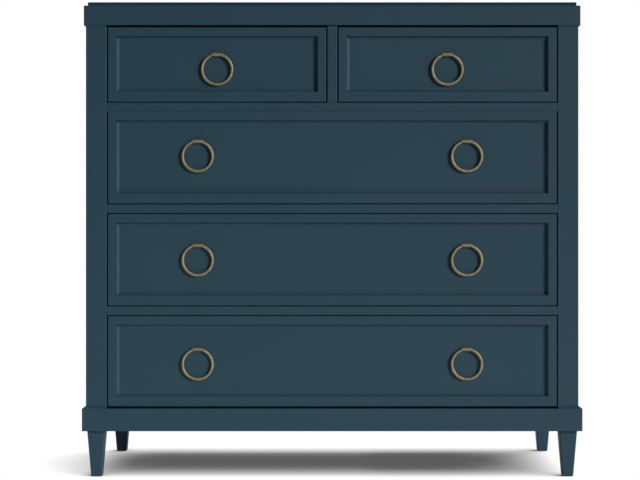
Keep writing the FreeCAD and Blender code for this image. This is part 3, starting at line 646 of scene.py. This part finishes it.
def make_floor_finish():
    """Seen: a white glow with painted shadow under the chest; for light that bounces: pale paper."""
    material, wire = new_finish("white_floor_painted_shadow")
    material.cycles.emission_sampling = "NONE"
    lean = wire.node("ShaderNodeCombineXYZ", sockets=PAINTED_SHADOW_LEAN)
    sky = wire.node("ShaderNodeAmbientOcclusion", {"samples": PAINTED_SHADOW_SAMPLES},
                    {"Normal": lean, "Distance": PAINTED_SHADOW_REACH}, output="AO")
    light = wire.node("ShaderNodeMapRange", sockets={"Value": sky, **SHADE_RANGE})
    # Painted shadow: the floor's white glow is darkened by the occlusion measure, not by any lamp.
    shade = wire.math("MAXIMUM", light, fade_out(wire)).mix(BLACK, WHITE)
    seen = wire.node("ShaderNodeEmission", sockets={"Color": shade})
    paper = wire.node("ShaderNodeBsdfDiffuse", sockets={"Color": PAPER})
    wire.node("ShaderNodeMixShader", sockets={0: seen_directly(wire), 1: paper, 2: seen}).show()
    return material


def make_floor():
    """Square sheet just under the feet."""
    sides = np.array([(-1, -1), (1, -1), (1, 1), (-1, 1)]) * FLOOR_HALF
    mesh = bpy.data.meshes.new("floor")
    mesh.from_pydata([(*corner, -FLOOR_DROP) for corner in sides.tolist()], [], [(0, 1, 2, 3)])
    mesh.materials.append(make_floor_finish())
    sheet = bpy.data.objects.new("floor", mesh)
    bpy.context.scene.collection.objects.link(sheet)
    return sheet


floor = make_floor()
print("floor", tuple(floor.dimensions))

# %% [markdown]
# ## Light
# One soft light comes from the right and in front, a little above the drawers. The left cove of every
# recess faces it and shines, and the right one turns away and goes dark. It is a sun lamp with a wide disc,
# because a near lamp would be brighter at the chest's right end. A weaker sun from behind on the left shows
# the far side and the back, and never falls on the front. A faint long lamp hangs over the floor in front,
# and the paper there sends its light up to the plinth and under the edges. The room is dim, so the shadows
# stay deep, and its back half is the white background, which also shows in reflections.

# %% World
ROOM_GREY = (0.040, 0.040, 0.042, 1.0)
BACK_HALF = (0.1, 0.4)


def make_world():
    """White where the camera sees it and where reflections look back, and a dim room for light."""
    world = bpy.data.worlds.new("studio")
    world.use_nodes = True
    world.node_tree.nodes.clear()
    wire = Wire(world.node_tree)
    towards = wire.node("ShaderNodeTexCoord", output="Generated")
    white = seen_directly(wire, along_axis(towards, "Y").step(*BACK_HALF))
    sky = wire.node("ShaderNodeBackground", sockets={"Color": white.mix(ROOM_GREY, WHITE), "Strength": 1.0})
    sky.show("ShaderNodeOutputWorld")
    bpy.context.scene.world = world


make_world()
print("room lit by grey", ROOM_GREY[:3])

# %% Lamps
KEY_AZIMUTH = math.radians(50.0)
KEY_HEIGHT = math.radians(17.0)
KEY_WIDTH = math.radians(20.0)
KEY_STRENGTH = 3.93
FILL_AZIMUTH = math.radians(-128.0)
FILL_HEIGHT = math.radians(32.0)
FILL_WIDTH = math.radians(30.0)
FILL_STRENGTH = 1.5
POOL_PLACE = (-0.30, -0.62, 3.0)
POOL_SIZE = (2.1, 0.30)
POOL_SPREAD = math.radians(15.0)
POOL_WATTS = 2.8


def make_sun(name, azimuth, height, width, strength):
    """Sun lamp whose light comes down from an azimuth, counted from the front to the right, and a height."""
    lamp = bpy.data.lights.new(name, "SUN")
    lamp.energy = strength
    lamp.angle = width
    holder = bpy.data.objects.new(name, lamp)
    holder.rotation_euler = (math.pi / 2 - height, 0.0, azimuth)
    bpy.context.scene.collection.objects.link(holder)
    return holder


def make_floor_pool():
    """Long lamp over the floor in front of the chest; it shines down and hardly spreads."""
    lamp = bpy.data.lights.new("floor_pool", "AREA")
    lamp.shape = "RECTANGLE"
    lamp.size, lamp.size_y = POOL_SIZE
    lamp.spread = POOL_SPREAD
    lamp.energy = POOL_WATTS
    holder = bpy.data.objects.new("floor_pool", lamp)
    holder.location = POOL_PLACE
    holder.visible_camera = False
    bpy.context.scene.collection.objects.link(holder)
    return holder


lamps = [make_sun("key", KEY_AZIMUTH, KEY_HEIGHT, KEY_WIDTH, KEY_STRENGTH),
         make_sun("fill", FILL_AZIMUTH, FILL_HEIGHT, FILL_WIDTH, FILL_STRENGTH),
         make_floor_pool()]
print("lamps:", ", ".join(lamp.name for lamp in lamps))
print(f"key from {math.degrees(KEY_AZIMUTH):.0f} degrees, {math.degrees(KEY_HEIGHT):.0f} up")

# %% [markdown]
# ## Camera
# The photograph looks straight at the front from half the chest's height, with a long lens, so the sides
# don't show. One could turn the camera to bring the chest slightly right of the middle of the picture, but
# then its upright and level lines would lean, so the lens is shifted instead.

# %% Camera
CAMERA_PLACE = (0.0, -3.81225, 0.5326)
LENS_MILLIMETRES = 90.0
SHIFT_RIGHT = -0.0190
SHIFT_UP = -0.0016

camera_data = bpy.data.cameras.new("camera")
camera_data.lens = LENS_MILLIMETRES
camera_data.shift_x = SHIFT_RIGHT
camera_data.shift_y = SHIFT_UP
camera = bpy.data.objects.new("camera", camera_data)
camera.location = CAMERA_PLACE
camera.rotation_euler = (math.pi / 2, 0.0, 0.0)
bpy.context.scene.collection.objects.link(camera)
bpy.context.scene.camera = camera
bpy.context.scene.view_settings.view_transform = "Standard"
print("camera at", tuple(camera.location))
